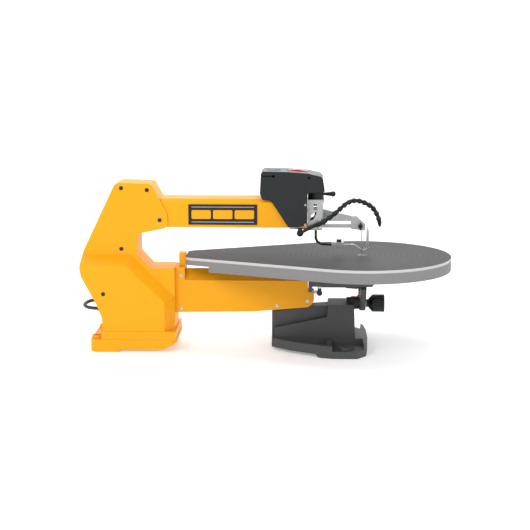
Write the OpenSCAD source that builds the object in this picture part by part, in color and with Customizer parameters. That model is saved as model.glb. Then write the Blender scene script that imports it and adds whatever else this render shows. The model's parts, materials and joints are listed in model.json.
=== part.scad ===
// Scroll saw with a double parallel-link arm and a tilting teardrop table.
// Frame: X runs from the motor housing to the operator's end, Z is up, and Z = 0 is the bench.
// The blade stands at X = blade_x, Y = 0.

/* [Frame] */
// Distance of the blade ahead of the middle of the machine
blade_x = 217; // [210:1:225]
// Throat depth from the blade to the column
throat = 508; // [500:1:512]
// Half width of the slim upper column
column_half = 42; // [40:1:44]
// Half width of the motor housing
housing_half = 72; // [70:1:74]
// Wall thickness of the housing shells
shell_wall = 3.5; // [3:0.5:4]
// Half width of the rear foot
rear_foot_half = 80; // [78:1:84]
// Half width of the front foot
front_foot_half = 128; // [120:1:130]
// Half width of the upper arm
arm_half = 39.5; // [38:0.5:40]
// Half width of the lower arm casting
lower_half = 24; // [23:1:24]

/* [Table] */
// Height of the table's top face above the bench
table_z = 213; // [211:1:214]
// Radius of the round front of the table
table_r = 203; // [200:1:203]
// Half width of the table's blunt rear tip
tip_half = 26; // [22:1:28]
// Position of the table's rear tip
tip_x = -183; // [-184:1:-182]
// Thickness of the table plate
plate_t = 9; // [8:1:10]
// Depth of the table's outer rim
rim_depth = 30; // [28:1:32]
// Radius of the hole that the blade passes through
blade_hole_r = 10; // [9:1:12]
// Height of the tilt axis
tilt_z = 205; // [204:1:206]

/* [Drive] */
// Length of the front links between their pins
link_len = 77; // [76:0.5:78]
// Lever length from a front rocker's pivot to its drive rod
drive_lever = 18; // [17:0.5:19]
// Distance between the two parallel links of a pair
link_gap = 16; // [15.5:0.5:16.5]
// Height of the upper rocker's pivot
upper_pivot_z = 296; // [295:1:297]
// Height of the lower rocker's pivot
lower_pivot_z = 142; // [141:1:143]
// Position of the rear rocker's pivot
rear_pivot_x = -330; // [-332:1:-328]
// Radius of the rocker pins
pin_r = 5; // [4:0.5:6]
// Radial running clearance of the pins
run_gap = 0.05; // [0.03:0.01:0.08]
// Play of the pivots where the linkage is opened
open_gap = 0.8; // [0.7:0.1:1]

/* [Cord] */
// Diameter of the mains cord
cord_d = 8; // [7:0.5:8]
// Middle radius of the stored coil
coil_r = 44; // [42:1:48]

/* [Hidden] */
$fn = 48;

column_x = blade_x - throat;         // front face of the column
pivot_x = 121.5;                     // X of the front pivots that stay on the arms
link_x = pivot_x + link_len;         // X of the front pivots that move with the blade
upper_rod_z = upper_pivot_z + drive_lever;
lower_rod_z = lower_pivot_z - drive_lever;
rear_pivot_z = (upper_rod_z + lower_rod_z) / 2;
motor_x = -275;
motor_z = 84;
motor_r = 37;
crank_r = 3.1;                       // throw of the eccentric
seam_x = -208;                       // joint between the housing and the lower arm
yellow = "#F9B51C";
casting_grey = "#A6A8AA";
coal = "#33373A";
foot_grey = "#4A4D50";
steel = "#C9CCCE";

// Extrudes an XZ outline from Y = y0 to Y = y1.
module slab(y0, y1) {
    translate([0, y1, 0]) rotate([90, 0, 0]) linear_extrude(y1 - y0) children();
}

// A cylinder along Y, centred at (x, z), from y0 to y1.
module y_rod(x, z, r, y0, y1) {
    translate([x, y1, z]) rotate([90, 0, 0]) cylinder(h = y1 - y0, r = r);
}

// A cylinder along X, centred at (y, z), from x0 to x1.
module x_rod(y, z, r, x0, x1) {
    translate([x0, y, z]) rotate([0, 90, 0]) cylinder(h = x1 - x0, r = r);
}

// Mirrored pair about the middle plane.
module both_sides() {
    children();
    mirror([0, 1, 0]) children();
}

// A pan-head screw along Y with its head outward at y (negative side) and a shank inward.
module side_screw(x, z, y, head_r, depth) {
    difference() {
        union() {
            y_rod(x, z, head_r, y - 1.4, y);
            y_rod(x, z, head_r * 0.5, y, y + depth);
        }
        y_rod(x, z, head_r * 0.42, y - 2, y - 0.6);
    }
}

/* ---- Rear housing and column ---- */

back_edge = [[-370, 46], [-371, 77], [-384, 110], [-417, 172], [-420, 192], [-417, 217]];
column_outline = concat(
    [[-342, 376], [-332, 381], [-262, 379], [-256, 375], [-224, 314], [-221, 293], [-223, 283]],
    [[-230, 278], [column_x + 3, 266], [column_x, 262], [column_x, 217], [column_x + 28, 187]],
    [[seam_x, 187], [seam_x, 46]], back_edge, [[-412, 231]]);
housing_outline = concat([[-307, 217], [seam_x, 120], [seam_x, 46]], back_edge);

// Room inside the shells: it keeps a wall of shell_wall or more behind the outer faces.
column_room = [[-339, 372], [-330, 377], [-264, 375], [-259, 372], [-228, 313], [-225, 294], [-227, 286],
               [-232, 282], [column_x + 1, 270], [column_x - 4, 265], [column_x - 4, 216],
               [column_x + 26, 183], [-212, 183], [-212, 52], [-366, 52], [-367, 78], [-380, 111],
               [-413, 173], [-416, 192], [-413, 216], [-408, 230]];
housing_room = [[-320, 192], [seam_x - 26, 104], [seam_x - 26, 55], [-361, 55], [-362, 81], [-375, 115],
                [-407, 175], [-408, 192]];

// Cuts the sloping band along an edge of the housing, from p to q, on the -Y side.
module edge_cut(p, q, y_in, fall) {
    run = q - p;
    over = 30;
    reach = housing_half + 6;
    translate([p[0], 0, p[1]]) rotate([0, -atan2(run[1], run[0]), 0])
        translate([-over, 0, 0]) rotate([90, 0, 90]) linear_extrude(norm(run) + 2 * over)
            polygon([[-y_in, 0], [-reach, -fall * (reach - y_in) / (housing_half - y_in)],
                     [-reach, 30], [-y_in, 30]]);
}

// The housing's outer shape on the -Y side.
module housing_half_solid() {
    slab(-column_half, 0) polygon(column_outline);
    difference() {
        slab(-housing_half, 0) polygon(housing_outline);
        edge_cut([-440, 217], [-307, 217], column_half, 20);
        edge_cut([-307, 217], [seam_x, 120], column_half, 20);
        edge_cut([seam_x, 120], [seam_x, 40], column_half, 21);
    }
}

module housing_shell() {
    difference() {
        housing_half_solid();
        slab(-column_half + shell_wall, 1) polygon(column_room);
        slab(-housing_half + shell_wall, 1) polygon(housing_room);
        // open front where the arms leave
        translate([seam_x - 8, -23.9, 97]) cube([20, 24, 70]);
        slab(-38, 1) polygon([[-250, 284], [-200, 284], [-200, 343], [-250, 343]]);
        // open foot
        translate([-366, -36, 40]) cube([154, 37, 12]);
        translate([-352, -67, 40]) cube([116, 68, 18]);
        for (s = shell_screw_points) y_rod(s[0], s[1], 2.6, -housing_half - 2, -20);
    }
}

shell_screw_points = [[-326, 369], [-268, 365], [-240, 297], [-328, 231], [-367, 132]];
cord_exit_z = 84;

module rear_shell_left() {
    color(yellow) difference() {
        housing_shell();
        x_rod(0, cord_exit_z, 6, -400, -360);
    }
}

module rear_shell_right() {
    color(yellow) mirror([0, 1, 0]) difference() {
        housing_shell();
        x_rod(0, cord_exit_z, 6, -400, -360);
    }
}

module shell_screws() {
    color("#6B6258") both_sides() for (s = shell_screw_points) {
        y = s[1] < 200 ? -housing_half : -column_half;
        side_screw(s[0], s[1], y, 4.5, s[1] < 200 ? housing_half - 31 : column_half - 31);
    }
}

module round_rect(x0, x1, y0, y1, r) {
    translate([x0 + r, y0]) square([x1 - x0 - 2 * r, y1 - y0]);
    translate([x0, y0 + r]) square([x1 - x0, y1 - y0 - 2 * r]);
    for (x = [x0 + r, x1 - r], y = [y0 + r, y1 - r]) translate([x, y]) circle(r);
}

rear_bolt_x = -384;
rear_bolt_y = 54;
rear_bolt_r = 4.5;

module rear_foot() {
    color(yellow) difference() {
        union() {
            linear_extrude(28) round_rect(-398, -202, -rear_foot_half, rear_foot_half, 18);
            both_sides() translate([rear_bolt_x, rear_bolt_y, 0]) cylinder(h = 34, r = 13);
            translate([-362, -60, 27]) cube([146, 120, 17]);
            translate([-372, 0, 0]) rotate([90, 0, 90]) linear_extrude(168)
                polygon([[-78.5, 27], [78.5, 27], [73.5, 45.9], [-73.5, 45.9]]);
        }
        translate([-366, -66, 44]) cube([131, 132, 4]);
        translate([-250, -32, 44]) cube([36, 64, 4]);
        // underside: hollow casting that stands on its rear pads
        translate([-331, -90, -1]) cube([140, 180, 7]);
        translate([-360, -62, -1]) cube([146, 124, 22]);
        slab(-90, 90) polygon([[-232, 5.9], [-200, 5.9], [-200, 22]]);
        both_sides() translate([rear_bolt_x, rear_bolt_y, -1]) cylinder(h = 40, r = rear_bolt_r);
        both_sides() translate([rear_bolt_x, rear_bolt_y, 28]) cylinder(h = 10, r = 9);
        translate([-340, -40, 20]) cube([100, 80, 30]);
    }
}

frame_outline = [[-340, 364], [-266, 364], [-236, 305], [-240, 288], [-292, 276], [-300, 268], [-300, 208],
                 [-270, 176], [-216, 176], [-216, 60], [-362, 60], [-362, 100], [-405, 182], [-405, 212]];

// Inner casting: two cheeks that carry the rear rocker's pin, joined by three blocks.
module column_frame() {
    color("#8F9294") difference() {
        union() {
            both_sides() slab(-30, -24) polygon(frame_outline);
            translate([-362, -30, 44.1]) cube([146, 60, 18]);
            translate([-340, -24.1, 348]) cube([70, 48.2, 16]);
            translate([-268, -24.1, 303]) cube([22, 48.2, 36]);
        }
        y_rod(rear_pivot_x, rear_pivot_z, pin_r, -40, 40);
        y_rod(motor_x, motor_z, 17, 20, 40);
        translate([-270, 4, 304.5]) cube([26, 12, 19]);
        for (s = shell_screw_points) y_rod(s[0], s[1], 2.4, -40, 40);
        x_rod(0, cord_exit_z, 6, -400, -350);
    }
}

/* ---- Lower arm ---- */

plate_outline = [[seam_x, 187], [-186, 187], [-186, 157], [95, 157], [95, 131], [109, 129], [109, 111],
                 [103, 101], [95, 96], [77, 94], [-27, 85], [seam_x, 82]];
plate_screw_points = [[-194, 167], [-194, 91], [25, 99], [94, 110]];
arm_section = [[-lower_half, 98], [lower_half, 98], [lower_half, 158], [2, 180], [-2, 180], [-lower_half, 158]];
arm_hollow = [[-19, 103], [19, 103], [19, 156], [3, 172], [-3, 172], [-19, 156]];

module lower_arm() {
    color(yellow) difference() {
        union() {
            translate([seam_x + 0.1, 0, 0]) rotate([90, 0, 90]) linear_extrude(299) polygon(arm_section);
            translate([seam_x - 7.8, -23.7, 98.2]) cube([12, 47.4, 59]);
            translate([seam_x + 0.1, -23.9, 157.5]) cube([21, 47.8, 28.5]);
        }
        translate([-217, 0, 0]) rotate([90, 0, 90]) linear_extrude(309) polygon(arm_hollow);
        for (s = [[-194, 167], [25, 99]]) y_rod(s[0], s[1], 2, -30, 30);
    }
}

module side_plate() {
    color(yellow) difference() {
        slab(-lower_half - 3, -lower_half) polygon(plate_outline);
        for (s = plate_screw_points) y_rod(s[0], s[1], 2.6, -40, -20);
    }
}

module side_plate_left() { side_plate(); }
module side_plate_right() { mirror([0, 1, 0]) side_plate(); }

module plate_screws() {
    color("#77797B") both_sides() for (s = plate_screw_points)
        side_screw(s[0], s[1], -lower_half - 3, 4, 3);
}

// Rear support of the table, with the tilt pin on its front face.
module table_post() {
    color(yellow) union() {
        translate([-200, -14, 186]) cube([15, 28, 31]);
        x_rod(0, tilt_z, 4, -186, -172);
    }
}

/* ---- Front foot and tilt clamp ---- */

foot_plan = [[13, 45], [60, 84], [125, 120], [150, front_foot_half], [205, front_foot_half], [226, 100], [231, 40]];
foot_bolt_x = 178;
foot_bolt_y = 104;
foot_bolt_r = 4.5;
clamp_z = tilt_z - 104;              // the clamp bolt sits 104 mm below the tilt axis

module front_foot() {
    mirror_plan = [for (i = [len(foot_plan) - 1:-1:0]) [foot_plan[i][0], -foot_plan[i][1]]];
    color(foot_grey) difference() {
        union() {
            difference() {
                linear_extrude(28) polygon(concat(foot_plan, mirror_plan));
                // the flange is scooped out beside the web
                both_sides() translate([150, 46, 16]) cube([70, 100, 20]);
                both_sides() translate([0, 0, 12]) linear_extrude(30)
                    polygon([[40, 46], [138, 46], [138, 112], [122, 106], [64, 74]]);
            }
            slab(-40, 40) polygon([[20, 27], [20, 50], [139, 76], [141, 104], [200, 104], [203, 27]]);
            slab(-22, 22) polygon([[13, 0], [13, 84], [77, 93.5], [92, 95.4], [150, 100], [150, 20]]);
            both_sides() translate([foot_bolt_x, foot_bolt_y, 0]) cylinder(h = 22, r = 14);
            x_rod(0, clamp_z, 14, 183.5, 212.5);
        }
        slab(-200, 200) polygon([[-1, -1], [-1, 7], [112, 7], [120, -1]]);
        slab(-35, 35) polygon([[30, -1], [30, 44], [136, 66], [150, 92], [190, 92], [194, -1]]);
        both_sides() translate([foot_bolt_x, foot_bolt_y, -1]) cylinder(h = 40, r = foot_bolt_r);
        x_rod(0, clamp_z, 5, 188, 220);
        translate([187, -7.2, 90]) cube([7.5, 14.4, 18.2]);
    }
}

// Bolt of the tilt clamp: it passes through the quadrant's curved slot.
module clamp_bolt() {
    color(steel) union() {
        x_rod(0, clamp_z, 5 - run_gap, 190, 243);
        translate([188.3, -7, clamp_z - 7]) cube([6, 14, 14]);
    }
}

module bevel_pointer() {
    color("#C23B2E") translate([194, -2, 115.02]) union() {
        cube([18.4, 4, 1.8]);
        translate([14.4, 1, 1.7]) cube([4, 2, 4]);
    }
}

// Knob that turns on the clamp bolt and locks the tilt.
module lock_knob() {
    knob_r = 20;
    color(coal) difference() {
        union() {
            x_rod(0, clamp_z, 9, 226.5, 234);
            translate([233.9, 0, clamp_z]) rotate([0, 90, 0]) cylinder(h = 9, r1 = 10, r2 = knob_r);
            x_rod(0, clamp_z, knob_r, 242.8, 270);
        }
        x_rod(0, clamp_z, 5, 225, 244);
        for (a = [0:30:330]) rotate_about_bolt(a)
            x_rod(0, clamp_z + knob_r + 1.6, 3, 246, 271);
    }
}

module rotate_about_bolt(a) {
    translate([0, 0, clamp_z]) rotate([a, 0, 0]) translate([0, 0, -clamp_z]) children();
}

/* ---- Tilting table ---- */

tip_r = 20;
tip_y = tip_half + 7.5;
taper = asin((table_r - tip_r) / norm([blade_x - tip_x - tip_r, tip_y])) - atan2(tip_y, blade_x - tip_x - tip_r);

// Plan outline of the table, shrunk by inset.
module table_plan(inset) {
    front_r = table_r - inset;
    corner_r = tip_r - inset;
    tx = tip_x + tip_r;
    edge = [[blade_x - front_r * sin(taper), front_r * cos(taper)],
            [tx - corner_r * sin(taper), tip_y + corner_r * cos(taper)], [tx - corner_r, tip_y]];
    translate([blade_x, 0]) circle(front_r, $fn = 96);
    for (s = [-1, 1]) translate([tx, s * tip_y]) circle(corner_r);
    polygon(concat(edge, [for (i = [2:-1:0]) [edge[i][0], -edge[i][1]]]));
}

module table() {
    rim_w = 7;
    color("#6E6C6D") difference() {
        union() {
            translate([0, 0, table_z - plate_t]) linear_extrude(plate_t) table_plan(0);
            difference() {
                translate([0, 0, table_z - rim_depth]) linear_extrude(rim_depth - plate_t + 0.1) table_plan(0);
                translate([0, 0, table_z - rim_depth - 1]) linear_extrude(rim_depth) table_plan(rim_w);
                // the rim is shallow around the tip
                translate([-200, -250, table_z - rim_depth - 1]) cube([72, 500, 13.5]);
            }
            // stiffening ribs under the plate
            both_sides() translate([0, 88, table_z - 20]) cube([380, 5, 12]);
            translate([330, -150, table_z - 20]) cube([5, 300, 12]);
            // rear pivot lug
            translate([-172, -13, 196]) cube([14, 26, 9]);
        }
        x_rod(0, tilt_z, 4 + run_gap, -185, -170);
        translate([-186, -15, 180]) cube([12, 30, 22]);
        translate([blade_x, 0, table_z - 30]) cylinder(h = 40, r = blade_hole_r);
    }
}

// Curved plate that turns with the table and is clamped against the front foot.
module quadrant() {
    outer = 119;
    inner = 84;
    color(coal) difference() {
        union() {
            intersection() {
                x_rod(0, tilt_z, outer, 213, 225);
                translate([212, 0, tilt_z]) rotate([90, 0, 90]) linear_extrude(14)
                    polygon([[0, 0], [-170, -82], [-130, -200], [130, -200], [170, -82]]);
            }
            both_sides() translate([180, 67, 150]) cube([45, 12, 54]);
        }
        x_rod(0, tilt_z, inner, 180, 226);
        arc_slot(104, 6);
    }
}

// Curved slot about the tilt axis, wide enough for 45 degrees of tilt each way.
module arc_slot(r, half) {
    difference() {
        x_rod(0, tilt_z, r + half, 212, 226);
        x_rod(0, tilt_z, r - half, 211, 227);
        for (s = [-1, 1]) translate([210, 0, tilt_z]) rotate([s * 48, 0, 0])
            translate([0, s > 0 ? 0 : -130, -130]) cube([20, 130, 260]);
    }
}

// Scale strip riveted to the operator's face of the quadrant, below the slot.
module bevel_scale() {
    color("#D8D4C4") intersection() {
        difference() {
            x_rod(0, tilt_z, 118.5, 225, 225.8);
            x_rod(0, tilt_z, 111, 224, 227);
        }
        translate([224, -84, 60]) cube([3, 168, 62]);
    }
}

// Two rails under the table that carry the quadrant's load into the plate.
module trunnion_bar() {
    color(coal) both_sides() union() {
        slab(-124, -114) polygon([[96, 204], [96, 150], [103, 150], [105, 162], [236, 162], [244, 172], [244, 204]]);
        translate([96, -114.1, 196]) cube([148, 12, 8]);
    }
}

/* ---- Upper arm and head ---- */

module upper_arm() {
    color(yellow) difference() {
        union() {
            difference() {
                translate([-250, 0, 0]) rotate([90, 0, 90]) linear_extrude(342)
                    polygon([[-arm_half, 280.5], [arm_half, 280.5], [arm_half, 337], [arm_half - 6, 345],
                             [6 - arm_half, 345], [-arm_half, 337]]);
                slab(-60, 60) offset(delta = 0.2) polygon(column_outline);
            }
            translate([-245, -23.9, 285]) cube([42, 47.8, 16]);
            translate([-245, -23.9, 322]) cube([42, 47.8, 14]);
        }
        translate([-219, -36, 284.5]) cube([315, 72, 56]);
        translate([-250, -10, 300]) cube([60, 28, 23]);
        // shallow slot on the top face
        translate([-137, -22, 343.8]) cube([78, 6, 4]);
    }
}

// Plain raised badge: a frame with two bars, without any lettering.
module arm_badge() {
    color(coal) translate([-175, 0, 0]) union() {
        slab(-arm_half - 1, -arm_half) translate([0, 287]) square([155, 46]);
        slab(-arm_half - 2, -arm_half - 0.9) difference() {
            translate([0, 287]) square([155, 46]);
            translate([3, 290]) square([149, 40]);
        }
    }
}

cover_outline = [[-12, 402], [-7, 408], [49, 407], [93, 404], [122, 397], [127, 392], [131.5, 363], [95, 360],
                 [92.5, 357], [92.5, 288], [73, 282.5], [50, 282.5], [11, 342], [-9, 345], [-14, 358]];
cover_half = 45.5;
dial_x = 16;
dial_r = 15;
paddle_x = 71;
head_screw_points = [[88, 333], [88, 289]];

// One moulded half of the head cover, on the -Y side.
module head_cover() {
    difference() {
        slab(-cover_half, -0.01) polygon(cover_outline);
        slab(-cover_half + 2.5, 1) offset(delta = -2.5) polygon(cover_outline);
        // the arm and the head casting pass through
        translate([-30, -arm_half - 0.3, 270]) cube([130, 60, 75.3]);
        translate([90, -26.3, 262]) cube([50, 40, 98]);
        translate([111.5, 0, 340]) cylinder(h = 22, r = 19);
        translate([dial_x, 0, 398]) cylinder(h = 20, r = dial_r + 0.4);
        translate([paddle_x - 23.5, -13, 395]) cube([47, 20, 20]);
        y_rod(96, 394, 2.6, -50, -38);
        for (s = head_screw_points) y_rod(s[0], s[1], 1.25, -50, -40);
        // finger notch at the rear of the top edge
        translate([-9, -50, 396]) cube([27, 8, 2.4]);
        translate([14, -50, 394]) cube([5, 8, 6]);
    }
}

module head_cover_left() { color(coal) head_cover(); }
module head_cover_right() { color(coal) mirror([0, 1, 0]) head_cover(); }

casting_half = 26;

module head_casting() {
    color(casting_grey) difference() {
        union() {
            translate([93, -casting_half, 281]) cube([35, 2 * casting_half, 58]);
            translate([93, -casting_half, 336]) cube([38, 2 * casting_half, 6.5]);
            translate([92, -casting_half, 273]) cube([34, 2 * casting_half, 8.1]);
            both_sides() translate([53, -24, 275]) cube([41, 12, 5.4]);
            both_sides() y_rod(pivot_x, upper_pivot_z, 5.5, -casting_half - 1.6, -casting_half + 1);
            both_sides() y_rod(pivot_x, upper_pivot_z + 22, 5.5, -casting_half - 1.6, -casting_half + 1);
        }
        translate([88, -22, 284]) cube([36, 44, 53]);
        translate([110, -7, 270]) cube([25, 14, 60]);
        translate([110, -15, 304]) cube([25, 30, 21]);
        translate([80, 3, 284]) cube([20, 14, 50]);
        for (z = [upper_pivot_z, upper_pivot_z - link_gap]) y_rod(pivot_x, z, 4, -40, 40);
        // windows in the side walls
        translate([107, -30, 320]) cube([7, 60, 13]);
        slab(-30, 30) polygon([[98, 294], [107, 298], [113, 312], [113, 316], [102, 308]]);
        translate([111.5, 0, 330]) cylinder(h = 20, r = 6);
        translate([hold_x, hold_y, 260]) cylinder(h = 30, r = hold_r + run_gap);
    }
}

module head_screws() {
    color(steel) {
        both_sides() for (s = head_screw_points) side_screw(s[0], s[1], -cover_half, 2.4, 2.5);
        both_sides() y_rod(pivot_x, upper_pivot_z + 22, 3, -casting_half - 2.6, -casting_half - 1.6);
    }
}

// Threaded rod that the tension lever pulls up.
module tension_rod() {
    color(steel) union() {
        translate([111.5, 0, 326]) cylinder(h = 16, r = 4);
        translate([111.5, 0, 326]) cylinder(h = 6, r = 7);
    }
}

module tension_lever() {
    color(coal) union() {
        difference() {
            translate([111.5, 0, 342.7]) cylinder(h = 16, r = 18);
            translate([111.5, 0, 340]) cylinder(h = 8, r = 9);
        }
        x_rod(0, 353, 3.2, 126, 150);
        translate([150.5, 0, 353]) sphere(r = 6.3);
        translate([128, 0, 353]) rotate([0, 90, 0]) cylinder(h = 22, r1 = 2.8, r2 = 5.6);
    }
}

module control_board() {
    color("#2F6B45") union() {
        translate([2, -30, 375]) cube([76, 60, 1.6]);
        for (x = [10:18:64]) translate([x, -22, 376.5]) cube([9, 12, 7]);
        translate([30, 14, 376.5]) cylinder(h = 14, r = 6);
    }
}

// Small diaphragm pump that feeds the dust blower.
module blower_pump() {
    color("#55595C") union() {
        translate([20, -20, 346]) cube([50, 40, 14]);
        translate([45, 0, 359]) cylinder(h = 8, r = 15);
        x_rod(0, 353, 4, 69, 80);
    }
}

module switch_paddle() {
    color("#C4222B") union() {
        slab(-12, 12) polygon([[paddle_x - 22, 400], [paddle_x + 22, 398], [paddle_x + 22, 405],
                               [paddle_x, 409], [paddle_x - 22, 408]]);
        y_rod(paddle_x, 400, 4, -12, 12);
    }
}

module speed_dial() {
    color("#1F2224") difference() {
        union() {
            translate([dial_x, 0, 401]) cylinder(h = 7.6, r = dial_r);
            translate([dial_x, 0, 383.5]) cylinder(h = 18, r = 3);
        }
        for (a = [0:20:340]) translate([dial_x, 0, 404]) rotate([0, 0, a]) translate([dial_r + 0.6, 0, 0])
            cylinder(h = 6, r = 1.6);
        translate([dial_x + 4, -0.8, 407.9]) cube([9, 1.6, 2]);
    }
}

/* ---- Motor and stroke mechanism ---- */

shaft_r = 6;

module motor_can() {
    color("#3D4144") difference() {
        union() {
            y_rod(motor_x, motor_z, motor_r, 30.1, 62);
            for (a = [0:30:330]) translate([motor_x, 36, motor_z]) rotate([0, a, 0])
                translate([motor_r - 1, 0, -1]) cube([2.4, 22, 2]);
        }
        y_rod(motor_x, motor_z, motor_r - 3, 33, 63);
        y_rod(motor_x, motor_z, 11, 29, 34);
    }
}

module motor_cap() {
    color("#8C9093") difference() {
        y_rod(motor_x, motor_z, motor_r, 62, 66);
        y_rod(motor_x, motor_z, 9, 61.9, 64.4);
    }
}

module motor_bearings() {
    color(steel) {
        difference() {
            y_rod(motor_x, motor_z, 11, 29.2, 33);
            y_rod(motor_x, motor_z, shaft_r + run_gap, 29, 34);
        }
        difference() {
            y_rod(motor_x, motor_z, 9, 62, 64.4);
            y_rod(motor_x, motor_z, 4 + run_gap, 61, 65);
        }
    }
}

module motor_shaft() {
    color(steel) union() {
        y_rod(motor_x, motor_z, shaft_r, -4, 61.9);
        y_rod(motor_x, motor_z, 4, 61, 64);
    }
}

module motor_rotor() {
    color("#7A6A55") difference() {
        union() {
            y_rod(motor_x, motor_z, 28, 36, 54);
            for (a = [0:45:315]) translate([motor_x, 54, motor_z]) rotate([0, a, 0])
                translate([10, -0.1, -1]) cube([18, 5, 2]);
        }
        y_rod(motor_x, motor_z, shaft_r, 30, 62);
    }
}

// Eccentric disc with its crank pin and a counterweight sector.
module eccentric() {
    color("#5C6063") difference() {
        union() {
            y_rod(motor_x, motor_z, 11, -5, 4);
            y_rod(motor_x + crank_r, motor_z, 4, -6.5, -4);
            intersection() {
                y_rod(motor_x, motor_z, 19, -5, 3.5);
                translate([motor_x - 25, -10, motor_z - 12]) cube([20, 20, 24]);
            }
        }
        y_rod(motor_x, motor_z, shaft_r, -4, 5);
    }
}

// Bars with round ends, built along XZ points a and b.
module bar(a, b, r, y0, y1) {
    run = b - a;
    union() {
        y_rod(a[0], a[1], r, y0, y1);
        y_rod(b[0], b[1], r, y0, y1);
        translate([a[0], y0, a[1]]) rotate([0, -atan2(run[1], run[0]), 0])
            translate([0, 0, -r * 0.7]) cube([norm(run), y1 - y0, r * 1.4]);
    }
}

module rear_rocker() {
    color("#6A6E71") difference() {
        union() {
            bar([rear_pivot_x, motor_z], [rear_pivot_x, rear_pivot_z], 11, -5, 5);
            bar([rear_pivot_x, rear_pivot_z], [rear_pivot_x, upper_rod_z], 11, -5, 5);
            y_rod(rear_pivot_x, rear_pivot_z, 14, -9, 9);
            for (z = [upper_rod_z, lower_rod_z]) y_rod(rear_pivot_x, z, 4, 4.9, 15);
            y_rod(rear_pivot_x, motor_z, 4, -15, -4.9);
        }
        y_rod(rear_pivot_x, rear_pivot_z, pin_r + run_gap, -12, 12);
    }
}

module connecting_rod() {
    color("#9A9DA0") difference() {
        bar([rear_pivot_x, motor_z], [motor_x, motor_z], 10, -14, -7);
        y_rod(rear_pivot_x, motor_z, 4 + run_gap, -15, -6);
        y_rod(motor_x, motor_z, 8, -15, -6);
    }
}

module drive_rod(z) {
    color("#8A8E91") difference() {
        bar([rear_pivot_x, z], [pivot_x, z], 5.5, 7, 12);
        for (x = [rear_pivot_x, pivot_x]) y_rod(x, z, 3 + (x < 0 ? 1 : 0) + 0.4, 6, 13);
    }
}

module upper_drive_rod() { drive_rod(upper_rod_z); }
module lower_drive_rod() { drive_rod(lower_rod_z); }

// Link between a pivot pin on the arm and the moving clamp link, with a drive lever.
module rocker(z, lever_z) {
    color(steel) difference() {
        union() {
            bar([pivot_x, z], [link_x, z], 6.5, -5, 5);
            bar([pivot_x, z], [pivot_x, lever_z], 6.5, -5, 5);
            y_rod(pivot_x, lever_z, 3, 4.9, 14);
            if (lever_z > z) slab(-3.5, 3.5)
                polygon([[126, z], [126, 317], [132, 318], [150, 313], [link_x - 6, 303], [link_x, z]]);
        }
        y_rod(pivot_x, z, 4 + run_gap, -6, 6);
        y_rod(link_x, z, 2.2 + open_gap, -6, 6);
    }
}

module stay(z) {
    color(steel) difference() {
        bar([pivot_x, z], [link_x, z], 5.5, -4.5, 4.5);
        y_rod(pivot_x, z, 4 + run_gap, -6, 6);
        y_rod(link_x, z, 2.2 + open_gap, -6, 6);
    }
}

module upper_rocker() { rocker(upper_pivot_z, upper_rod_z); }
module upper_stay() { stay(upper_pivot_z - link_gap); }
module lower_rocker() { rocker(lower_pivot_z, lower_rod_z); }
module lower_stay() { stay(lower_pivot_z + link_gap); }

// Fixed pins: the rear rocker's pin and the front pins of both arms.
module pivot_pins() {
    color("#B9BCBF") {
        y_rod(rear_pivot_x, rear_pivot_z, pin_r, -33, 33);
        for (z = [upper_pivot_z, upper_pivot_z - link_gap]) y_rod(pivot_x, z, 4, -27.5, 27.5);
        for (z = [lower_pivot_z, lower_pivot_z + link_gap]) y_rod(pivot_x, z, 4, -23, 23);
    }
}

// Fork plates that join the ends of two parallel links.
module link_plates(z_low, outline) {
    both_sides() slab(-8.5, -5.6) polygon(outline);
    for (z = [z_low, z_low + link_gap]) y_rod(link_x, z, 2.2, -9.6, 9.6);
}

module clamp_link() {
    color(steel) difference() {
        link_plates(upper_pivot_z - link_gap, [[192, 274], [192, 300], [197, 303], [204, 302],
            [223, 285], [222, 276], [214, 273], [200, 273]]);
        y_rod(213, 281, 2.2, -12, 12);
    }
}

// The upper clamp holds the top end of the blade.
module upper_clamp() {
    color(casting_grey) difference() {
        translate([208, -5.6, 271]) cube([16, 11.2, 14]);
        translate([blade_x - 2, -0.3, 270]) cube([4, 0.6, 9]);
        y_rod(213, 281, 2.2, -7, 7);
        y_rod(213, 281, 3, -6, -3);
    }
}

module lower_clamp() {
    color(casting_grey) difference() {
        union() {
            link_plates(lower_pivot_z, [[192, 136], [192, 163], [204, 164], [224, 156], [224, 140], [206, 135]]);
            translate([208, -5.7, 141]) cube([16, 11.4, 14]);
        }
        translate([blade_x - 2, -0.3, 147]) cube([4, 0.6, 9]);
        y_rod(213, 146, 2.2, -12, 12);
    }
}

module blade() {
    color("#BEC2C5") difference() {
        translate([blade_x - 1.4, -0.25, 148]) cube([2.8, 0.5, 130]);
        for (z = [165:4:262]) translate([blade_x + 0.7, -1, z]) rotate([0, 30, 0]) cube([2, 2, 1.2]);
    }
}

// Wing-headed screw that closes the upper clamp on the blade.
module clamp_screw() {
    color(coal) union() {
        y_rod(213, 281, 2.15, -9, 5);
        y_rod(213, 281, 5, -16, -8.8);
        translate([211.6, -20, 272.5]) cube([2.8, 8, 17]);
    }
}

/* ---- Hold-down ---- */

hold_x = 112;
hold_y = -16;
hold_r = 3;

// A bent round rod through XYZ points, with a ball at each bend.
module bent_rod(points, r) {
    union() {
        for (i = [0:len(points) - 2]) {
            run = points[i + 1] - points[i];
            translate(points[i]) rotate([0, acos(run[2] / norm(run)), atan2(run[1], run[0])])
                cylinder(h = norm(run), r = r);
        }
        for (i = [1:len(points) - 2]) translate(points[i]) sphere(r = r + 0.1);
    }
}

module hold_down_rod() {
    color("#202325") bent_rod([[hold_x, hold_y, 318], [hold_x, hold_y, 254], [116, -15, 245],
                               [126, -12, 240], [158, 0, 236]], hold_r);
}

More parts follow.
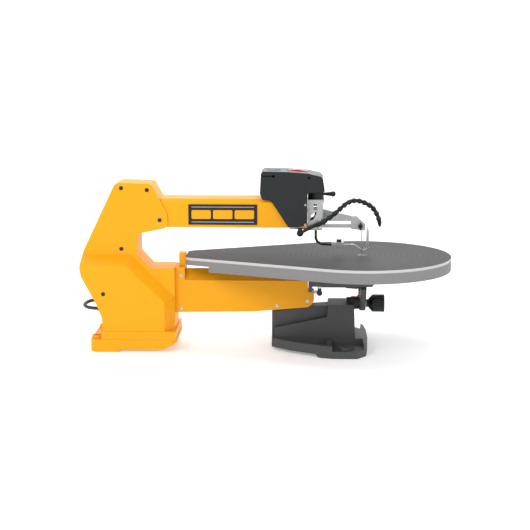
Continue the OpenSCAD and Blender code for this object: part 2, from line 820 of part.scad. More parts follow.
module hold_down_foot() {
    color(steel) difference() {
        union() {
            translate([148, -8, 231]) cube([28, 14, 12]);
            translate([175, -3, 235.4]) cube([20, 6, 2.4]);
            for (y = [-5.5, 2.5]) slab(y, y + 3)
                polygon([[194, 235.4], [194, 237.8], [200, 237.8], [217, 225.2], [224, 225.6], [232, 231.4],
                         [234, 229.9], [225, 223.2], [216, 222.9], [199, 235.4]]);
            translate([192, -5.5, 235.4]) cube([6, 11, 2.4]);
            translate([229, -5.5, 228.7]) cube([5, 11, 2.4]);
            slab(-2.2, -0.8) polygon([[227, 230], [227, 268], [230, 280], [233, 268], [233, 230]]);
        }
        aim([142, -6, 238], [158, 0, 236]) cylinder(h = 18, r = hold_r + run_gap);
        translate([165, -1, 230]) cylinder(h = 14, r = 2.2);
    }
}

module hold_down_screw() {
    color("#202325") union() {
        translate([165, -1, 232]) cylinder(h = 12, r = 2.15);
        translate([165, -1, 243.1]) cylinder(h = 4, r = 5.5);
        translate([159, -2, 247]) cube([12, 2, 2]);
    }
}

/* ---- Dust blower hose ---- */

hose_y = -36;
hose_points = [[111, -36, 286], [124, -35, 290], [137, -34, 299], [149, -32, 308], [161, -30, 318],
               [171, -28, 327], [181, -26, 335], [192, -24, 340], [204, -22, 341], [216, -20, 338],
               [227, -18, 333], [238, -16, 326], [246, -14, 316], [252, -12, 304], [256, -10, 292]];
hose_split = 7;

// Places children at p with +Z aimed at q.
module aim(p, q) {
    run = q - p;
    translate(p) rotate([0, acos(run[2] / norm(run)), atan2(run[1], run[0])]) children();
}

// Ball-and-socket segments between two indices of the hose's points.
module hose_run(first, last) {
    union() for (i = [first:last - 1]) {
        length = norm(hose_points[i + 1] - hose_points[i]);
        aim(hose_points[i], hose_points[i + 1]) union() {
            sphere(r = 4.2);
            translate([0, 0, 3]) cylinder(h = length - 5.6, r1 = 6.3, r2 = 5.2);
            cylinder(h = length, r = 3);
        }
    }
}

module hose_base() {
    color("#26292B") union() {
        translate([76.5, hose_y, 268]) sphere(r = 7.8);
        translate([76.5, hose_y, 268]) cylinder(h = 12.2, r = 5);
        aim([76.5, hose_y, 268], [107.5, -36, 284.5]) cylinder(h = 35, r = 3.5);
    }
}

module hose_lower() {
    color("#202325") union() {
        hose_run(0, hose_split);
        translate(hose_points[hose_split]) sphere(r = 4.7);
    }
}

module hose_upper() {
    color("#202325") union() {
        difference() {
            hose_run(hose_split, len(hose_points) - 1);
            translate(hose_points[hose_split]) sphere(r = 5);
        }
        aim([256, -10, 292], [257, -8, 281]) union() {
            sphere(r = 4.2);
            cylinder(h = 12, r1 = 5.2, r2 = 2.6);
        }
    }
}

/* ---- Cord ---- */

relief_tip = -393;
coil_x = -318;
coil_y = 165;
coil_half = 1.5 * cord_d;
cord_route = [[relief_tip, 0, 84], [-398, 1, 84], [-405, 4, 84], [-412, 11, 85], [-418, 21, 86],
              [-420, 32, 87], [-418, 43, 89], [-413, 53, 90], [-405, 62, 91], [-396, 70, 91],
              [-388, 79, 89], [-381, 89, 84], [-376, 100, 76], [-373, 111, 65], [-371, 121, 52],
              [-370, 130, 38], [-370, 139, 25], [-370, 149, 14], [-370, 159, 7]];

function unit(v) = v / norm(v);
function heading(p, i) = i == 0 ? [-1, 0, 0]
    : unit(p[min(i + 1, len(p) - 1)] - p[i - 1]);

// A tube through the points, with sides flat faces round it.
module tube(points, r, sides) {
    last = len(points) - 1;
    rings = [for (i = [0:last]) let (t = heading(points, i), u = unit(cross(t, [1, 0.2, 3])), v = cross(t, u))
        for (k = [0:sides - 1]) points[i] + r * (cos(k * 360 / sides) * u + sin(k * 360 / sides) * v)];
    walls = [for (i = [0:last - 1], k = [0:sides - 1])
        let (a = i * sides + k, b = i * sides + (k + 1) % sides) [a, a + sides, b + sides, b]];
    ends = [[for (k = [0:sides - 1]) k], [for (k = [sides - 1:-1:0]) last * sides + k]];
    polyhedron(rings, concat(walls, ends));
}

module power_cord() { color(coal) tube(cord_route, cord_d / 2, 8); }

module cord_coil() {
    color(coal) translate([coil_x, coil_y, 0]) rotate_extrude()
        translate([coil_r - coil_half, 0]) square([2 * coil_half, 2 * cord_d]);
}

module strain_relief() {
    color(coal) union() {
        x_rod(0, cord_exit_z, 5.9, -379, -363);
        translate([relief_tip, 0, cord_exit_z]) rotate([0, 90, 0]) cylinder(h = 15, r1 = 5, r2 = 7.4);
    }
}

module plug() {
    color(coal) translate([coil_x + coil_r - 11, coil_y - 12, 2 * cord_d]) union() {
        cube([22, 34, 18]);
        translate([3, -6, 2]) cube([16, 7, 14]);
        for (x = [5, 15.4]) translate([x, -22, 6]) cube([1.6, 17, 6.4]);
    }
}

rear_foot();
rear_shell_left();
rear_shell_right();
column_frame();
shell_screws();
lower_arm();
side_plate_left();
side_plate_right();
plate_screws();
table_post();
front_foot();
clamp_bolt();
bevel_pointer();
upper_arm();
arm_badge();
head_cover_left();
head_cover_right();
head_casting();
head_screws();
tension_rod();
control_board();
blower_pump();
motor_can();
motor_cap();
motor_bearings();
pivot_pins();
strain_relief();
power_cord();
cord_coil();
plug();
table();
quadrant();
bevel_scale();
trunnion_bar();
lock_knob();
motor_shaft();
motor_rotor();
eccentric();
rear_rocker();
connecting_rod();
upper_drive_rod();
lower_drive_rod();
upper_rocker();
upper_stay();
clamp_link();
lower_rocker();
lower_stay();
blade();
upper_clamp();
lower_clamp();
clamp_screw();
tension_lever();
switch_paddle();
speed_dial();
hold_down_rod();
hold_down_screw();
hold_down_foot();
hose_base();
hose_lower();
hose_upper();
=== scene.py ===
# %% [markdown]
# # A bench scroll saw
# The machine is a yellow housing with two long arms, a grey teardrop table between them, and a
# black head that drives a thin blade up and down. The solid parts arrive as a fixed frame, already
# at their real size and place. This lesson gives them rounded edges, paint, metal and plastic, and
# it adds the pieces that only show: the coiled cord, the badge bars and two ribbed sleeves.

# %% The frame
import bpy
import bmesh
import json
import math
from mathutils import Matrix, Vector


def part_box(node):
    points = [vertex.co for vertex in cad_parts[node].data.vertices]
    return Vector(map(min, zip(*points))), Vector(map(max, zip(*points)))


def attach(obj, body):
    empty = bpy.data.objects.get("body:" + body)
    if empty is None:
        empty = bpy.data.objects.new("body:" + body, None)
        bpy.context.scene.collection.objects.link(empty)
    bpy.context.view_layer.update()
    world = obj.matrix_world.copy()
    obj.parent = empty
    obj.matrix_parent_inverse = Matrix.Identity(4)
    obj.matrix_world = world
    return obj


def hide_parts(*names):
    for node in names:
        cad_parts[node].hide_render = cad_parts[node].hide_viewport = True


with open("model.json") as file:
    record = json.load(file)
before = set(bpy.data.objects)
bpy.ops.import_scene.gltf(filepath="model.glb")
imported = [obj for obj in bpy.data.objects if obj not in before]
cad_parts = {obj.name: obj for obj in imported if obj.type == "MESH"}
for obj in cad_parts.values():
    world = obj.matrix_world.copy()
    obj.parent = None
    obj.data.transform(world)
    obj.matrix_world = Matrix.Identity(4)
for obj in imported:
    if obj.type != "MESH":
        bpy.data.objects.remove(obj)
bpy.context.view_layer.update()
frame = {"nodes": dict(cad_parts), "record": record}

nodes = frame["nodes"]
MM = 0.001

# %% [markdown]
# A bench machine is usually shown from the side, a little above the table. A long lens keeps the
# arms nearly parallel. The camera stands about three metres away, on the operator's left, and a
# little towards the table's end.

# %% The camera
CAMERA_AT = Vector((99.2, -2951.5, 715.6)) * MM
CAMERA_TO = Vector((-3.85, 0.0, 188.2)) * MM
SENSOR = 36.0
LENS = 88.83

camera_data = bpy.data.cameras.new("bench_camera")
camera_data.lens = LENS
camera_data.sensor_width = SENSOR
camera = bpy.data.objects.new("bench_camera", camera_data)
camera.location = CAMERA_AT
camera.rotation_euler = (CAMERA_TO - CAMERA_AT).to_track_quat("-Z", "Y").to_euler()
bpy.context.scene.collection.objects.link(camera)
bpy.context.scene.camera = camera
print("camera", [round(v, 3) for v in CAMERA_AT], "lens", LENS)

# %% [markdown]
# A procedural finish is a small calculation: mix two colours by a noise, darken the hollows, make
# the roughness wander. Written node by node that is hard to read. A wrapper round a node socket
# lets the same sums be written as ordinary expressions.

# %% Sockets that can be added, subtracted and multiplied
class Sock:
    """A value socket that adds its own Math nodes when it is used in an expression."""

    def __init__(self, paint, socket):
        self.paint = paint
        self.socket = socket

    def math(self, operation, a, b=0.0):
        return self.paint.math(operation, a, b)

    def __add__(self, other):
        return self.math("ADD", self, other)

    def __radd__(self, other):
        return self.math("ADD", other, self)

    def __rsub__(self, other):
        return self.math("SUBTRACT", other, self)

    def __mul__(self, other):
        return self.math("MULTIPLY", self, other)

    def __rmul__(self, other):
        return self.math("MULTIPLY", other, self)


# %% [markdown]
# A paint object holds one material. Its `add` method makes any node: the settings go in first,
# because they can change which sockets the node has, and then the values or links.

# %% One method for every node
class Paint:
    """A material with a Principled shader and short ways to add nodes to it."""

    def __init__(self, name):
        self.material = bpy.data.materials.new(name)
        self.material.use_nodes = True
        self.tree = self.material.node_tree
        self.shader = self.tree.nodes["Principled BSDF"]

    def plug_in(self, socket, value):
        if isinstance(value, Sock):
            self.tree.links.new(value.socket, socket)
        else:
            socket.default_value = value

    def add(self, kind, settings, sockets, out=0):
        node = self.tree.nodes.new(kind)
        for name, value in settings.items():
            setattr(node, name, value)
        for name, value in sockets.items():
            self.plug_in(node.inputs[name], value)
        return Sock(self, node.outputs[out])

    def math(self, operation, a, b=0.0):
        return self.add("ShaderNodeMath", {"operation": operation}, {0: a, 1: b})

    def place(self):
        return self.add("ShaderNodeTexCoord", {}, {}, out="Object")

    def noise(self, scale, detail=4.0, rough=0.55, vector=None):
        vector = vector or self.place()
        return self.add("ShaderNodeTexNoise", {"noise_dimensions": "3D"},
                        {"Vector": vector, "Scale": scale, "Detail": detail, "Roughness": rough})

    def ramp(self, value, low, high, low_out=0.0, high_out=1.0):
        sockets = {"Value": value, "From Min": low, "From Max": high, "To Min": low_out, "To Max": high_out}
        return self.add("ShaderNodeMapRange", {"clamp": True}, sockets)

    def mix(self, factor, a, b):
        return self.add("ShaderNodeMix", {"data_type": "RGBA"}, {0: factor, 6: a, 7: b}, out=2)

    def bump(self, height, strength, distance):
        return self.add("ShaderNodeBump", {}, {"Height": height, "Strength": strength, "Distance": distance})

    def upward(self):
        """How far the face looks up on the piece itself: 1 on its top, 0 on its sides."""
        facing = self.add("ShaderNodeTexCoord", {}, {}, out="Normal")
        return self.add("ShaderNodeSeparateXYZ", {}, {0: facing}, out="Z")

    def set(self, **values):
        for name, value in values.items():
            self.plug_in(self.shader.inputs[name.replace("_", " ")], value)
        return self.material


def rgb(r, g, b):
    return (r, g, b, 1.0)


print("helpers ready")

# %% [markdown]
# The housing and the arms are powder coated: the powder melts into a smooth skin with a very fine
# orange-peel ripple. A low bump from fine noise gives the ripple, a slower noise shifts the colour
# a little, and a thin coat gives the soft highlight.

# %% Yellow powder coat
def yellow_coat():
    paint = Paint("yellow_coat")
    patchy = paint.noise(9.0, 3.0)
    ripple = paint.noise(850.0, 2.0)
    dust = paint.ramp(paint.noise(60.0, 6.0), 0.62, 0.78)
    colour = paint.mix(patchy, rgb(0.88, 0.375, 0.003), rgb(0.93, 0.41, 0.005))
    colour = paint.mix(dust * 0.2, colour, rgb(0.90, 0.43, 0.02))
    normal = paint.bump(ripple, 0.12, 0.0004)
    paint.shader.inputs["Specular IOR Level"].default_value = 0.22
    paint.shader.inputs["Coat Roughness"].default_value = 0.3
    return paint.set(Base_Color=colour, Roughness=0.4 + ripple * 0.1, Normal=normal, Coat_Weight=0.04)


# %% [markdown]
# The front foot is a rough sand casting under black paint, so its bump is coarser and its gloss is
# broken up. The same recipe serves the tilt bracket.

# %% Black paint on a rough casting
def foot_coat(name, dark, light, grain):
    paint = Paint(name)
    cast = paint.noise(grain, 5.0, 0.65)
    pits = paint.ramp(paint.noise(grain * 3.0, 2.0), 0.45, 0.75)
    colour = paint.mix(cast, dark, light)
    normal = paint.bump(cast + pits * 0.4, 0.45, 0.0007)
    return paint.set(Base_Color=colour, Roughness=0.42 + cast * 0.2, Normal=normal)


# %% [markdown]
# The head cover, knob and hose are moulded plastic with a spark-eroded grain: tiny even dimples
# that scatter the light. Voronoi cells a third of a millimetre wide make them. Faces that look up
# are mixed towards pale grey, a painted highlight.

# %% Moulded black plastic
# A pale grey painted onto faces that look up, as a painted highlight.
PAINTED_TOP_HIGHLIGHT = rgb(0.30, 0.31, 0.32)


def moulded_plastic(name, base, lighter, gloss):
    paint = Paint(name)
    cells = paint.add("ShaderNodeTexVoronoi", {"feature": "SMOOTH_F1"},
                      {"Vector": paint.place(), "Scale": 1900.0})
    scuff = paint.ramp(paint.noise(45.0, 7.0, 0.6), 0.58, 0.8)
    colour = paint.mix(scuff * 0.5, base, lighter)
    # Painted highlight: faces that look up are mixed up to halfway towards pale grey.
    colour = paint.mix(paint.ramp(paint.upward(), 0.75, 0.98) * 0.5, colour, PAINTED_TOP_HIGHLIGHT)
    normal = paint.bump(cells, 0.18, 0.0003)
    paint.shader.inputs["Specular IOR Level"].default_value = 0.34
    return paint.set(Base_Color=colour, Roughness=gloss + scuff * 0.12, Normal=normal)


# %% [markdown]
# The table is cast iron. Its top is turned on a lathe about the blade hole, which leaves fine rings,
# and its rim is only fettled, with a painted highlight along its top 6.5 mm. The distance from the
# blade's axis drives a wave for the rings. The table's own normal tells the top from the side, also
# when the table tilts, and the rings fade out where the face isn't level.

# %% Machined table iron
BLADE_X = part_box("blade")[0].x * 0.5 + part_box("blade")[1].x * 0.5
TABLE_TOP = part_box("table")[1].z
# Lower edge of the painted highlight along the rim, 6.5 mm below the table top.
RIM_HIGHLIGHT_FOOT = TABLE_TOP - 6.5 * MM


def table_iron():
    paint = Paint("table_iron")
    here = paint.add("ShaderNodeVectorMath", {"operation": "SUBTRACT"},
                     {0: paint.place(), 1: (BLADE_X, 0.0, 0.0)})
    flat = paint.add("ShaderNodeVectorMath", {"operation": "MULTIPLY"}, {0: here, 1: (1.0, 1.0, 0.0)})
    radius = paint.add("ShaderNodeVectorMath", {"operation": "LENGTH"}, {0: flat}, out="Value")
    up = paint.upward()
    top = paint.ramp(up, 0.97, 0.995)
    wander = paint.noise(6.0, 3.0) * 0.004
    fine = paint.math("SINE", (radius + wander) * 2600.0)
    broad = paint.math("SINE", (radius + wander) * 520.0)
    rings = (fine * 0.3 + broad * 0.7) * 0.5 + 0.5
    near = paint.ramp(radius, 0.02, 0.24, 1.0, 0.25)
    cloud = paint.noise(7.0, 5.0)
    grain = paint.noise(420.0, 6.0, 0.7)
    face = paint.mix(cloud, rgb(0.036, 0.035, 0.036), rgb(0.066, 0.064, 0.065))
    face = paint.mix(rings * near * 0.5, face, rgb(0.14, 0.138, 0.138))
    side = paint.mix(grain, rgb(0.20, 0.195, 0.198), rgb(0.29, 0.285, 0.288))
    colour = paint.mix(top, side, face)
    level = paint.add("ShaderNodeSeparateXYZ", {}, {0: paint.place()}, out="Z")
    # Painted highlight: the top 6.5 mm of the rim, but not the top face, is mixed towards light grey.
    painted_rim_highlight = paint.ramp(level, RIM_HIGHLIGHT_FOOT, RIM_HIGHLIGHT_FOOT + 1 * MM) * paint.ramp(up, 0.9, 0.97, 1.0, 0.0)
    colour = paint.mix(painted_rim_highlight * 0.9, colour, rgb(0.60, 0.60, 0.605))
    height = rings * top * near * 0.35 + grain * (1.2 - top)
    normal = paint.bump(height, 0.22, 0.0005)
    paint.shader.inputs["Specular IOR Level"].default_value = 0.08
    paint.shader.inputs["Metallic"].default_value = 0.04
    return paint.set(Base_Color=colour, Roughness=0.5 - top * 0.06 + grain * 0.1, Normal=normal)


# %% [markdown]
# Bare metals differ by how they were finished. Die-cast aluminium is matt and mottled, bright steel
# has drawn lines along one way, and black oxide is a thin dark skin that rubs through to grey.

# %% Bare metals
def cast_aluminium():
    paint = Paint("cast_aluminium")
    mottled = paint.noise(160.0, 5.0, 0.65)
    colour = paint.mix(mottled, rgb(0.38, 0.385, 0.39), rgb(0.62, 0.625, 0.63))
    normal = paint.bump(paint.noise(900.0, 4.0), 0.22, 0.0004)
    return paint.set(Base_Color=colour, Metallic=0.8, Roughness=0.36 + mottled * 0.18, Normal=normal)


def bright_steel():
    paint = Paint("bright_steel")
    stretch = paint.add("ShaderNodeVectorMath", {"operation": "MULTIPLY"},
                        {0: paint.place(), 1: (1.0, 1.0, 14.0)})
    lines = paint.noise(500.0, 5.0, 0.7, stretch)
    colour = paint.mix(lines, rgb(0.40, 0.405, 0.41), rgb(0.60, 0.605, 0.61))
    normal = paint.bump(lines, 0.1, 0.0002)
    return paint.set(Base_Color=colour, Metallic=0.95, Roughness=0.2 + lines * 0.14, Normal=normal)


def black_oxide():
    paint = Paint("dark_steel")
    rub = paint.ramp(paint.noise(140.0, 6.0), 0.55, 0.75)
    colour = paint.mix(rub * 0.6, rgb(0.025, 0.026, 0.028), rgb(0.12, 0.12, 0.125))
    normal = paint.bump(paint.noise(900.0, 3.0), 0.12, 0.0003)
    return paint.set(Base_Color=colour, Metallic=0.6, Roughness=0.34 + rub * 0.12, Normal=normal)


# %% [markdown]
# The small parts left are a glossy red paddle, soft rubber for the cord, a varnished winding, a
# green board and a printed strip. Each still gets its own fine detail, because light finds a
# perfectly even surface at once.

# %% Small finishes
def speckled(name, low, high, scale, rough, metal=0.0, bump=0.12):
    paint = Paint(name)
    spots = paint.noise(scale, 5.0)
    colour = paint.mix(spots, low, high)
    normal = paint.bump(spots, bump, 0.0003)
    paint.shader.inputs["Metallic"].default_value = metal
    return paint.set(Base_Color=colour, Roughness=rough + spots * 0.12, Normal=normal)


def tick_strip():
    """A cream strip with dark ticks fanning out from the tilt axis."""
    paint = Paint("scale_cream")
    parts = [paint.add("ShaderNodeSeparateXYZ", {}, {0: paint.place()}, out=axis) for axis in ("Y", "Z")]
    axis_z = TABLE_TOP - 8 * MM
    angle = paint.math("ARCTAN2", parts[0], axis_z - parts[1])
    ticks = paint.math("SINE", angle * 72.0)
    dark = paint.ramp(ticks, 0.86, 0.93)
    colour = paint.mix(dark, rgb(0.70, 0.67, 0.58), rgb(0.03, 0.03, 0.03))
    return paint.set(Base_Color=colour, Roughness=0.35 + paint.noise(300.0) * 0.1)


FINISH = {
    "yellow_coat": yellow_coat(),
    "foot_coat": foot_coat("foot_coat", rgb(0.042, 0.044, 0.045), rgb(0.070, 0.072, 0.073), 420.0),
    "black_plastic": moulded_plastic("black_plastic", rgb(0.012, 0.016, 0.018), rgb(0.026, 0.031, 0.033),
                                     0.44),
    "table_iron": table_iron(),
    "cast_aluminium": cast_aluminium(),
    "bright_steel": bright_steel(),
    "dark_steel": black_oxide(),
    "red_plastic": speckled("red_plastic", rgb(0.50, 0.012, 0.016), rgb(0.60, 0.02, 0.022), 500.0, 0.2),
    "grey_casting": foot_coat("grey_casting", rgb(0.16, 0.165, 0.17), rgb(0.26, 0.265, 0.27), 380.0),
    "board_green": speckled("board_green", rgb(0.01, 0.10, 0.04), rgb(0.02, 0.16, 0.07), 260.0, 0.3),
    "scale_cream": tick_strip(),
    "cord_rubber": speckled("cord_rubber", rgb(0.028, 0.031, 0.034), rgb(0.045, 0.048, 0.052), 900.0, 0.5),
    "copper_wound": speckled("copper_wound", rgb(0.30, 0.12, 0.04), rgb(0.50, 0.22, 0.08), 300.0, 0.3, 0.8),
}
print("finishes:", ", ".join(FINISH))

# %% [markdown]
# The studio is a white sweep: a floor and an upright backdrop that both glow faintly, so that they
# stay white beyond the soft shadow under the machine. An even sky fills the shadows and three
# large lamps shape the housing. The colours are shown as they are, without a film curve.

# %% Sweep and light
def glowing_sheet(name, corners, glow):
    mesh = bpy.data.meshes.new(name)
    mesh.from_pydata(corners, [], [(0, 1, 2, 3)])
    sheet = bpy.data.objects.new(name, mesh)
    bpy.context.scene.collection.objects.link(sheet)
    paint = Paint(name)
    paper = paint.mix(paint.noise(3.0, 3.0), rgb(0.86, 0.86, 0.86), rgb(0.88, 0.88, 0.88))
    paint.shader.inputs["Emission Strength"].default_value = glow
    mesh.materials.append(paint.set(Base_Color=paper, Emission_Color=paper, Roughness=0.85))


def area_lamp(name, place, target, size, power):
    data = bpy.data.lights.new(name, "AREA")
    data.shape = "RECTANGLE"
    data.size = size[0]
    data.size_y = size[1]
    data.energy = power
    lamp = bpy.data.objects.new(name, data)
    lamp.location = place
    lamp.rotation_euler = (Vector(target) - Vector(place)).to_track_quat("-Z", "Y").to_euler()
    bpy.context.scene.collection.objects.link(lamp)


SIDE = 9.0
BACK = 3.2
glowing_sheet("studio_floor", [(-SIDE, -SIDE, 0), (SIDE, -SIDE, 0), (SIDE, BACK, 0), (-SIDE, BACK, 0)], 0.34)
glowing_sheet("studio_backdrop", [(-SIDE, BACK, 0), (SIDE, BACK, 0), (SIDE, BACK, 5), (-SIDE, BACK, 5)], 0.75)
world = bpy.data.worlds.new("studio")
bpy.context.scene.world = world
world.use_nodes = True
world.node_tree.nodes["Background"].inputs["Color"].default_value = rgb(1.0, 1.0, 1.0)
world.node_tree.nodes["Background"].inputs["Strength"].default_value = 0.62
area_lamp("key_lamp", (-1.4, -2.4, 2.2), (0.0, 0.0, 0.2), (1.6, 1.2), 36.0)
area_lamp("fill_lamp", (2.2, -1.8, 1.4), (0.1, 0.0, 0.2), (1.4, 1.0), 14.0)
area_lamp("top_lamp", (0.2, 0.6, 2.6), (0.0, 0.0, 0.2), (2.0, 1.4), 26.0)
bpy.context.scene.view_settings.view_transform = "Standard"
print("studio ready")

# %% [markdown]
# The mains cord is made early, because its length is fixed and it has to fit behind the machine.
# It leaves its strain relief, turns back in a wide arc, falls to the bench behind the housing and
# is wound there in a flat coil of two layers. No bend is tighter than four cord diameters.

# %% Route of the cord
CORD_D = 8 * MM
CORD_EXIT = Vector((-393, 0, 84)) * MM
TURN_R = 34.5 * MM
TURN_DEGREES = 135
TURN_STEP = 15
TURN_RISE = 6 * MM
coil_low, coil_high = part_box("cord_coil")
COIL_MID = (coil_low + coil_high) / 2
COIL_OUTER = (coil_high.x - coil_low.x) / 2 - CORD_D / 2
POINTS_PER_TURN = 20


def coil_points(start_angle, turns):
    """Clockwise turns: three on the bench from the outside in, then back out on top of them."""
    tiers = [(COIL_OUTER - CORD_D * k, 0.5) for k in range(3)]
    tiers += [(COIL_OUTER - CORD_D * (2 - k), 1.42) for k in range(3)]
    points = []
    for step in range(round(POINTS_PER_TURN * turns)):
        turn = step / POINTS_PER_TURN
        k = int(turn)
        after = tiers[min(k + 1, len(tiers) - 1)]
        ease = min(max((turn - k - 0.6) / 0.4, 0.0), 1.0)
        ease = ease * ease * (3 - 2 * ease)
        radius = tiers[k][0] + (after[0] - tiers[k][0]) * ease
        height = (tiers[k][1] + (after[1] - tiers[k][1]) * ease) * CORD_D
        angle = start_angle - turn * 2 * math.pi
        x = COIL_MID.x + radius * math.cos(angle)
        y = COIL_MID.y + radius * math.sin(angle)
        points.append(Vector((x, y, height)))
    return points


def easy_bend(a, heading_a, b, heading_b, arm_a, arm_b, steps):
    """Points of a cubic curve from a to b that leaves along heading_a and arrives along heading_b."""
    c = a + heading_a.normalized() * arm_a
    d = b - heading_b.normalized() * arm_b
    points = []
    for i in range(1, steps + 1):
        t = i / steps
        s = 1 - t
        points.append(a * s ** 3 + c * 3 * s * s * t + d * 3 * s * t * t + b * t ** 3)
    return points


def smooth_tube(name, points, radius, material):
    curve = bpy.data.curves.new(name, "CURVE")
    curve.dimensions = "3D"
    curve.bevel_depth = radius
    curve.bevel_resolution = 5
    curve.resolution_u = 4
    curve.use_fill_caps = True
    spline = curve.splines.new("NURBS")
    spline.points.add(len(points) - 1)
    for point, where in zip(spline.points, points):
        point.co = (*where, 1.0)
    spline.use_endpoint_u = True
    spline.order_u = 4
    curve.materials.append(material)
    piece = bpy.data.objects.new(name, curve)
    bpy.context.scene.collection.objects.link(piece)
    return piece


COIL_START = math.pi * 0.985
COIL_TURNS = 5.075
cord_points = []
for degrees in range(0, TURN_DEGREES + 1, TURN_STEP):
    bend = math.radians(degrees)
    rise = TURN_RISE * (degrees / TURN_DEGREES) ** 2
    cord_points.append(CORD_EXIT + Vector((-TURN_R * math.sin(bend), TURN_R * (1 - math.cos(bend)), rise)))
coil = coil_points(COIL_START, COIL_TURNS)
leaving = Vector((-math.cos(bend), math.sin(bend), 0.1))
cord_points += easy_bend(cord_points[-1], leaving, coil[0], coil[1] - coil[0], 60 * MM, 50 * MM, 12)
cord_points += coil[1:]
plug_low, plug_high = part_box("plug")
plug_tail = Vector(((plug_low.x + plug_high.x) / 2, plug_high.y, plug_low.z + 9 * MM))
cord_points += easy_bend(coil[-1], coil[-1] - coil[-2], plug_tail, Vector((0, -1, 0)), 70 * MM, 40 * MM, 8)
cord = smooth_tube("power_cord_lead", cord_points, CORD_D / 2, FINISH["cord_rubber"])
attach(cord, "base")
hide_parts("power_cord", "cord_coil")
print("cord drawn through", len(cord_points), "points")

# %% [markdown]
# The frame's solids have knife edges. Real castings and mouldings never do, and an edge only catches
# light when it is rounded. So each solid is welded, its edges are bevelled by an amount that suits
# the piece, and its normals are weighted by face size, which keeps the flats flat.

# %% Rounded edges and finishes for every frame solid
EDGE_MM = {
    "rear_shell_left": 3.2, "rear_shell_right": 3.2, "rear_foot": 3.0, "upper_arm": 2.4,
    "side_plate_left": 0.7, "side_plate_right": 0.7, "lower_arm": 1.0, "table_post": 1.6, "table": 3.4,
    "front_foot": 3.2, "quadrant": 1.2, "trunnion_bar": 1.4, "lock_knob": 1.2, "head_cover_left": 3.0,
    "head_cover_right": 3.0, "head_casting": 0.9, "tension_lever": 1.4, "switch_paddle": 1.6,
    "rear_rocker": 1.2, "column_frame": 1.6, "cord_coil": 1.0, "plug": 2.4, "blower_pump": 1.2,
    "clamp_link": 0.5, "upper_clamp": 0.8, "lower_clamp": 0.8, "upper_rocker": 0.8, "upper_stay": 0.7,
    "lower_rocker": 0.8, "lower_stay": 0.7, "blade": 0.0,
}
DEFAULT_EDGE_MM = 0.4
slot_of = {part["node"]: part["material_slot"] for part in frame["record"]["subparts"]}


def soften(node, width):
    """Welds, bevels and shades a frame solid without changing its mesh."""
    solid = nodes[node]
    mesh = solid.data
    for name in ("custom_normal", "sharp_face", "sharp_edge"):
        if name in mesh.attributes:
            mesh.attributes.remove(mesh.attributes[name])
    for face in mesh.polygons:
        face.use_smooth = width > 0
    weld = solid.modifiers.new("weld", "WELD")
    weld.merge_threshold = 0.00001
    if width <= 0:
        return
    flats = solid.modifiers.new("whole_flats", "DECIMATE")
    flats.decimate_type = "DISSOLVE"
    flats.angle_limit = math.radians(0.6)
    bevel = solid.modifiers.new("rounded_edges", "BEVEL")
    bevel.width = width * MM
    bevel.segments = 3
    bevel.limit_method = "ANGLE"
    bevel.angle_limit = math.radians(32)
    bevel.harden_normals = False
    solid.modifiers.new("weighted_normals", "WEIGHTED_NORMAL").keep_sharp = True


for node, solid in nodes.items():
    solid.data.materials.clear()
    solid.data.materials.append(FINISH[slot_of[node]])
    soften(node, EDGE_MM.get(node, DEFAULT_EDGE_MM))
print("dressed", len(nodes), "solids")

# %% [markdown]
# Some small pieces are shaped here, because they only show. The badge gets two silver rules and
# three plain yellow blocks, each a bar with round corners. The strain relief and the cord's entry
# into the plug get ribbed sleeves, which are turned from a zigzag profile.

# %% Badge bars
def flat_bar(name, x0, x1, z0, z1, y_back, thick, corner, finish):
    """A bar with round corners that lies on the arm's side, thick towards the operator's left."""
    outline = []
    for cx, cz, start in ((x1 - corner, z1 - corner, 0), (x0 + corner, z1 - corner, 90),
                          (x0 + corner, z0 + corner, 180), (x1 - corner, z0 + corner, 270)):
        for step in range(6):
            turn = math.radians(start + step * 18)
            outline.append((cx + corner * math.cos(turn), cz + corner * math.sin(turn)))
    bm = bmesh.new()
    face = bm.faces.new([bm.verts.new((x, y_back, z)) for x, z in outline])
    grown = bmesh.ops.extrude_face_region(bm, geom=[face])["geom"]
    bmesh.ops.translate(bm, verts=[v for v in grown if isinstance(v, bmesh.types.BMVert)], vec=(0, -thick, 0))
    bmesh.ops.recalc_face_normals(bm, faces=bm.faces)
    return finish_piece(name, bm, finish, 0.25)


def finish_piece(name, bm, finish, edge_mm):
    """Turns a bmesh into an object that rides on the base, with its finish and rounded edges."""
    mesh = bpy.data.meshes.new(name)
    bm.to_mesh(mesh)
    bm.free()
    mesh.materials.append(FINISH[finish])
    for face in mesh.polygons:
        face.use_smooth = True
    piece = bpy.data.objects.new(name, mesh)
    bpy.context.scene.collection.objects.link(piece)
    bevel = piece.modifiers.new("rounded_edges", "BEVEL")
    bevel.width = edge_mm * MM
    bevel.segments = 2
    bevel.limit_method = "ANGLE"
    bevel.angle_limit = math.radians(32)
    piece.modifiers.new("weighted_normals", "WEIGHTED_NORMAL").keep_sharp = True
    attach(piece, "base")
    return piece


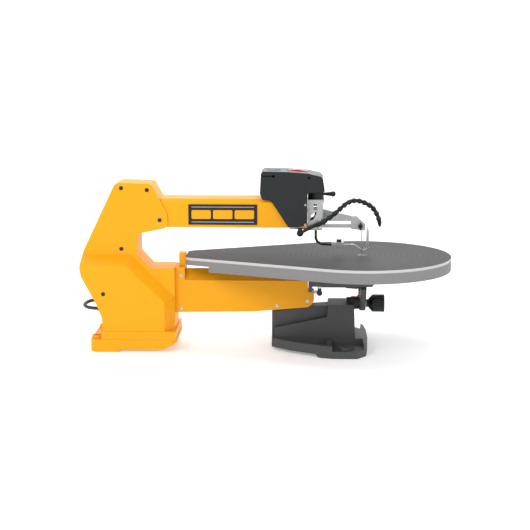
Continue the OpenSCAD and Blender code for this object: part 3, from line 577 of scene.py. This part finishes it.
badge_low, badge_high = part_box("arm_badge")
BADGE_FACE = badge_low.y + 1.0 * MM
RIM = 3 * MM
GAP = 5 * MM
inner_low = badge_low.x + RIM + 4 * MM
inner_high = badge_high.x - RIM - 4 * MM
for k, z in enumerate((badge_low.z + RIM + 2.2 * MM, badge_high.z - RIM - 3.8 * MM)):
    flat_bar(f"badge_rule_{k}", inner_low, inner_high, z, z + 1.6 * MM, BADGE_FACE, 0.5 * MM, 0.7 * MM,
             "cast_aluminium")
BLOCKS = 3
block = (inner_high - inner_low - (BLOCKS - 1) * GAP) / BLOCKS
for k in range(BLOCKS):
    left = inner_low + k * (block + GAP)
    flat_bar(f"badge_block_{k}", left, left + block, badge_low.z + 13 * MM, badge_high.z - 13 * MM,
             BADGE_FACE, 0.6 * MM, 3 * MM, "yellow_coat")
print("badge bars", 2 + BLOCKS)

# %% Ribbed sleeves
AROUND = 28


def ribbed_sleeve(name, start, along, length, r_start, r_end, ribs, finish):
    """A sleeve turned about the line from start along the given unit vector, with round ribs."""
    side = along.orthogonal().normalized()
    up = along.cross(side)
    profile = [(0.0, r_start - 1.2 * MM)]
    steps = ribs * 8
    for i in range(steps + 1):
        t = i / steps
        wave = 0.7 * MM * (0.5 - 0.5 * math.cos(t * ribs * 2 * math.pi))
        profile.append((length * t, r_start + (r_end - r_start) * t + wave - 0.35 * MM))
    profile.append((length, r_end - 1.2 * MM))
    bm = bmesh.new()
    rings = []
    for place, radius in profile:
        ring = []
        for k in range(AROUND):
            turn = 2 * math.pi * k / AROUND
            outward = side * math.cos(turn) + up * math.sin(turn)
            ring.append(bm.verts.new(start + along * place + outward * radius))
        rings.append(ring)
    for a, b in zip(rings, rings[1:]):
        for k in range(AROUND):
            after = (k + 1) % AROUND
            bm.faces.new((a[k], a[after], b[after], b[k]))
    bm.faces.new(rings[0])
    bm.faces.new(rings[-1])
    bmesh.ops.recalc_face_normals(bm, faces=bm.faces)
    return finish_piece(name, bm, finish, 0.1)


relief_tip = Vector((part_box("strain_relief")[0].x, 0, CORD_EXIT.z))
ribbed_sleeve("relief_ribs", relief_tip, Vector((1, 0, 0)), 14 * MM, 5.3 * MM, 7.4 * MM, 4, "cord_rubber")
plug_sleeve = ribbed_sleeve("plug_sleeve", plug_tail - Vector((0, 2 * MM, 0)), Vector((0, 1, 0)), 16 * MM,
                            7.5 * MM, 5.2 * MM, 4, "black_plastic")
print("sleeves ready")
